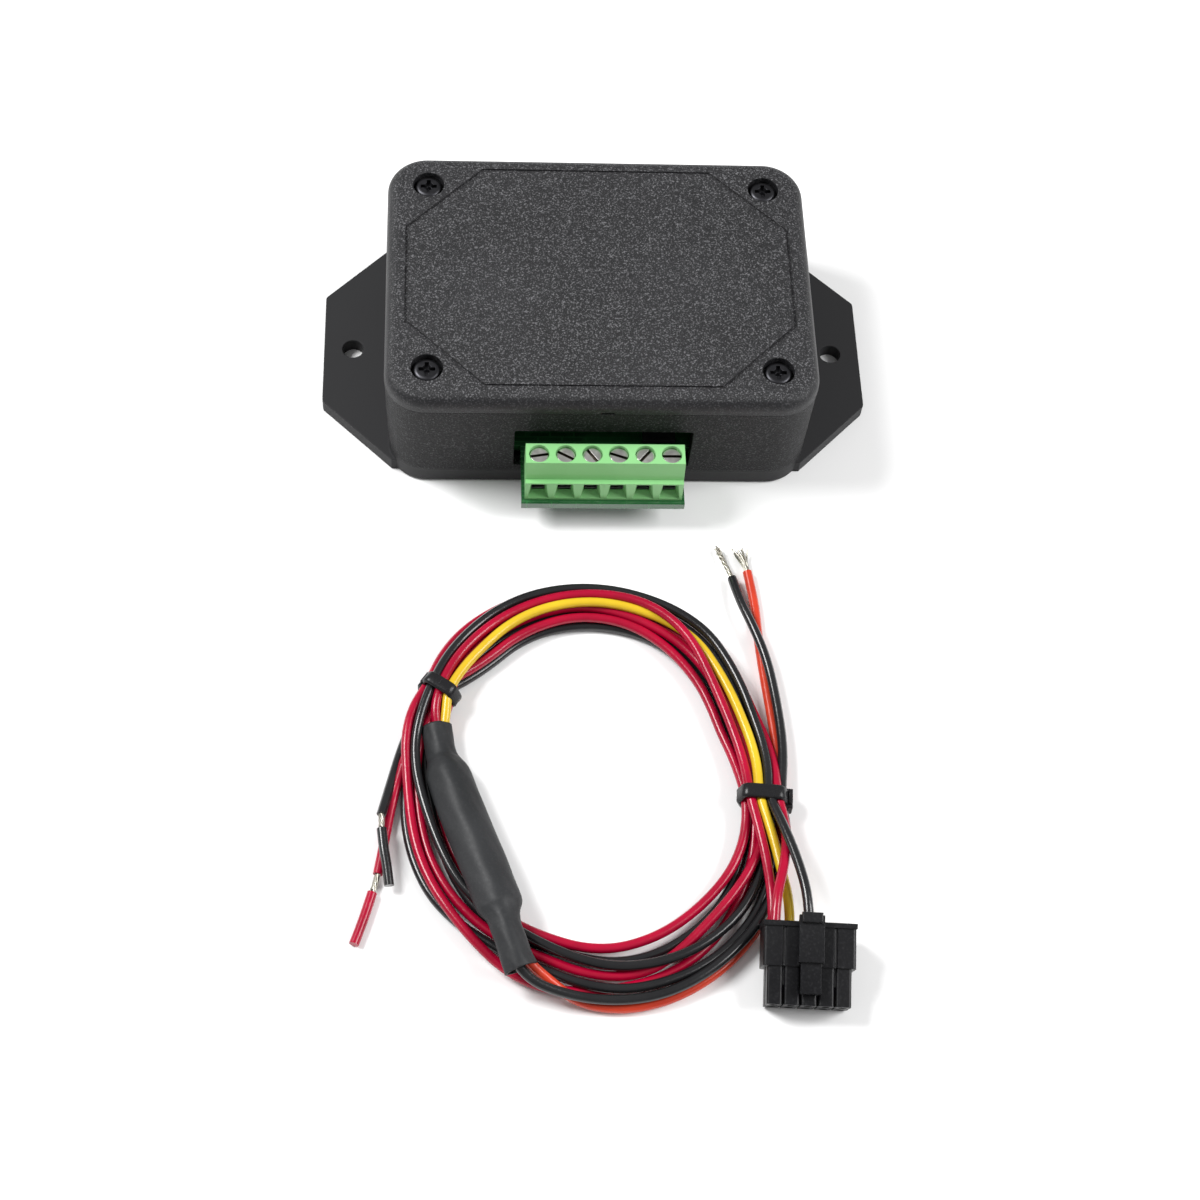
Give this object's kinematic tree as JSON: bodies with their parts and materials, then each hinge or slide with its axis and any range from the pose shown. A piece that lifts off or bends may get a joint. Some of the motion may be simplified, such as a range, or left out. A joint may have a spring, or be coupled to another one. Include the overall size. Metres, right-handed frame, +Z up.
{
  "type": "trailer brake controller unit",
  "caption": "Flanged black electronics case with a screw terminal block on its front and a tied wiring harness with a latching plug and stripped ends.",
  "frame": {"origin": "on the underside of the case, midway between the two flange holes", "axes": "+Z up out of the lid, +X along the line of the flange holes, -Y out of the terminal block"},
  "size_m": [0.1092, 0.1721, 0.0275],
  "materials": {
    "case_plastic": "fine spark-eroded texture",
    "lid_plastic": "coarse spark-eroded texture",
    "black_screw": "black oxide, satin",
    "circuit_board": "green solder mask, gloss",
    "plated_steel": "zinc plated",
    "green_plastic": "smooth moulded nylon, satin",
    "nickel_plated_screw": "nickel plated",
    "zinc_plated_cage": "zinc plated",
    "tinned_metal": "tin plated",
    "chip_plastic": "moulded epoxy",
    "chip_ceramic": "fired ceramic",
    "capacitor_can": "bare can",
    "ferrite": "moulded ferrite",
    "plug_plastic": "smooth moulded, satin",
    "contact_tin": "tin plated",
    "wire_red": "glossy PVC",
    "wire_yellow": "glossy PVC",
    "wire_black": "glossy PVC",
    "wire_orange": "satin PVC",
    "tinned_copper": "tinned strands",
    "heat_shrink": "matt shrunk polyolefin",
    "fuse_body": "clear",
    "tie_nylon": "smooth nylon"
  },
  "bodies": {
    "case": {"base_shell": "case_plastic", "board_screws": "plated_steel", "chip_capacitors": "chip_ceramic", "chip_resistors": "chip_plastic", "circuit_board": "circuit_board", "controller_chip": "chip_plastic", "controller_leads": "tinned_metal", "crystal": "capacitor_can", "electrolytic_capacitors": "capacitor_can", "power_inductor": "ferrite", "power_transistors": "chip_plastic", "protection_diodes": "chip_plastic", "sense_resistor": "chip_plastic", "terminal_housing": "green_plastic", "terminal_pins": "tinned_metal", "transistor_legs": "tinned_metal", "transistor_tabs": "tinned_metal", "voltage_regulator": "chip_plastic"},
    "lid": {"lid": "lid_plastic"},
    "lid_screw_1": {"lid_screw_1": "black_screw"},
    "lid_screw_2": {"lid_screw_2": "black_screw"},
    "lid_screw_3": {"lid_screw_3": "black_screw"},
    "lid_screw_4": {"lid_screw_4": "black_screw"},
    "terminal_screw_1": {"terminal_screw_1": "nickel_plated_screw"},
    "clamp_cage_1": {"clamp_cage_1": "zinc_plated_cage"},
    "terminal_screw_2": {"terminal_screw_2": "nickel_plated_screw"},
    "clamp_cage_2": {"clamp_cage_2": "zinc_plated_cage"},
    "terminal_screw_3": {"terminal_screw_3": "nickel_plated_screw"},
    "clamp_cage_3": {"clamp_cage_3": "zinc_plated_cage"},
    "terminal_screw_4": {"terminal_screw_4": "nickel_plated_screw"},
    "clamp_cage_4": {"clamp_cage_4": "zinc_plated_cage"},
    "terminal_screw_5": {"terminal_screw_5": "nickel_plated_screw"},
    "clamp_cage_5": {"clamp_cage_5": "zinc_plated_cage"},
    "terminal_screw_6": {"terminal_screw_6": "nickel_plated_screw"},
    "clamp_cage_6": {"clamp_cage_6": "zinc_plated_cage"},
    "harness": {"connector_housing": "plug_plastic", "contact_sockets": "contact_tin", "plug_lead_red_lower": "wire_red", "plug_lead_red_upper": "wire_red", "plug_lead_yellow": "wire_yellow", "plug_lead_black": "wire_black", "feed_lead_black": "wire_black", "feed_lead_orange": "wire_orange", "tail_lead_black": "wire_black", "tail_lead_red": "wire_red", "wire_coil": "wire_black", "heat_shrink_sleeve": "heat_shrink", "inline_fuse": "fuse_body", "cable_tie_left": "tie_nylon", "cable_tie_right": "tie_nylon", "feed_strands": "tinned_copper", "tail_strands": "tinned_copper", "insulation_slug_black": "wire_black", "insulation_slug_red": "wire_red"},
    "plug_latch": {"connector_latch": "plug_plastic"}
  },
  "joints": [
    {"name": "lid_lift", "type": "slide", "parent": "case", "child": "lid", "axis": [0, 0, 1], "range_m": [0, 0.03]},
    {"name": "lid_screw_1_turn", "type": "hinge", "parent": "lid", "child": "lid_screw_1", "pos_m": [0.0335, 0.0225, 0.0251], "axis": [0, 0, 1], "continuous": true},
    {"name": "lid_screw_2_turn", "type": "hinge", "parent": "lid", "child": "lid_screw_2", "pos_m": [-0.0335, 0.0225, 0.0251], "axis": [0, 0, 1], "continuous": true},
    {"name": "lid_screw_3_turn", "type": "hinge", "parent": "lid", "child": "lid_screw_3", "pos_m": [0.0335, -0.0225, 0.0251], "axis": [0, 0, 1], "continuous": true},
    {"name": "lid_screw_4_turn", "type": "hinge", "parent": "lid", "child": "lid_screw_4", "pos_m": [-0.0335, -0.0225, 0.0251], "axis": [0, 0, 1], "continuous": true},
    {"name": "terminal_screw_1_turn", "type": "hinge", "parent": "case", "child": "terminal_screw_1", "pos_m": [-0.0121, -0.0351, 0.0169], "axis": [0, 0, -1], "range_deg": [0, 1080]},
    {"name": "clamp_cage_1_rise", "type": "slide", "parent": "case", "child": "clamp_cage_1", "axis": [0, 0, 1], "range_m": [0, 0.0015]},
    {"name": "terminal_screw_2_turn", "type": "hinge", "parent": "case", "child": "terminal_screw_2", "pos_m": [-0.00702, -0.0351, 0.0169], "axis": [0, 0, -1], "range_deg": [0, 1080]},
    {"name": "clamp_cage_2_rise", "type": "slide", "parent": "case", "child": "clamp_cage_2", "axis": [0, 0, 1], "range_m": [0, 0.0015]},
    {"name": "terminal_screw_3_turn", "type": "hinge", "parent": "case", "child": "terminal_screw_3", "pos_m": [-0.00194, -0.0351, 0.0169], "axis": [0, 0, -1], "range_deg": [0, 1080]},
    {"name": "clamp_cage_3_rise", "type": "slide", "parent": "case", "child": "clamp_cage_3", "axis": [0, 0, 1], "range_m": [0, 0.0015]},
    {"name": "terminal_screw_4_turn", "type": "hinge", "parent": "case", "child": "terminal_screw_4", "pos_m": [0.00314, -0.0351, 0.0169], "axis": [0, 0, -1], "range_deg": [0, 1080]},
    {"name": "clamp_cage_4_rise", "type": "slide", "parent": "case", "child": "clamp_cage_4", "axis": [0, 0, 1], "range_m": [0, 0.0015]},
    {"name": "terminal_screw_5_turn", "type": "hinge", "parent": "case", "child": "terminal_screw_5", "pos_m": [0.00822, -0.0351, 0.0169], "axis": [0, 0, -1], "range_deg": [0, 1080]},
    {"name": "clamp_cage_5_rise", "type": "slide", "parent": "case", "child": "clamp_cage_5", "axis": [0, 0, 1], "range_m": [0, 0.0015]},
    {"name": "terminal_screw_6_turn", "type": "hinge", "parent": "case", "child": "terminal_screw_6", "pos_m": [0.0133, -0.0351, 0.0169], "axis": [0, 0, -1], "range_deg": [0, 1080]},
    {"name": "clamp_cage_6_rise", "type": "slide", "parent": "case", "child": "clamp_cage_6", "axis": [0, 0, 1], "range_m": [0, 0.0015]},
    {"name": "harness_lift", "type": "slide", "parent": "case", "child": "harness", "axis": [0, 0, 1], "range_m": [0, 0.15]},
    {"name": "plug_latch_press", "type": "hinge", "parent": "harness", "child": "plug_latch", "pos_m": [0.03339, -0.13447, 0.00929], "axis": [-0.9982, 0.0593, 0], "range_deg": [0, 5], "stiffness_Nm_per_rad": 0.3}
  ],
  "couplings": [
    {"joint": "terminal_screw_1_turn", "follows": "clamp_cage_1_rise", "rad_per_m": 12566},
    {"joint": "terminal_screw_2_turn", "follows": "clamp_cage_2_rise", "rad_per_m": 12566},
    {"joint": "terminal_screw_3_turn", "follows": "clamp_cage_3_rise", "rad_per_m": 12566},
    {"joint": "terminal_screw_4_turn", "follows": "clamp_cage_4_rise", "rad_per_m": 12566},
    {"joint": "terminal_screw_5_turn", "follows": "clamp_cage_5_rise", "rad_per_m": 12566},
    {"joint": "terminal_screw_6_turn", "follows": "clamp_cage_6_rise", "rad_per_m": 12566}
  ]
}
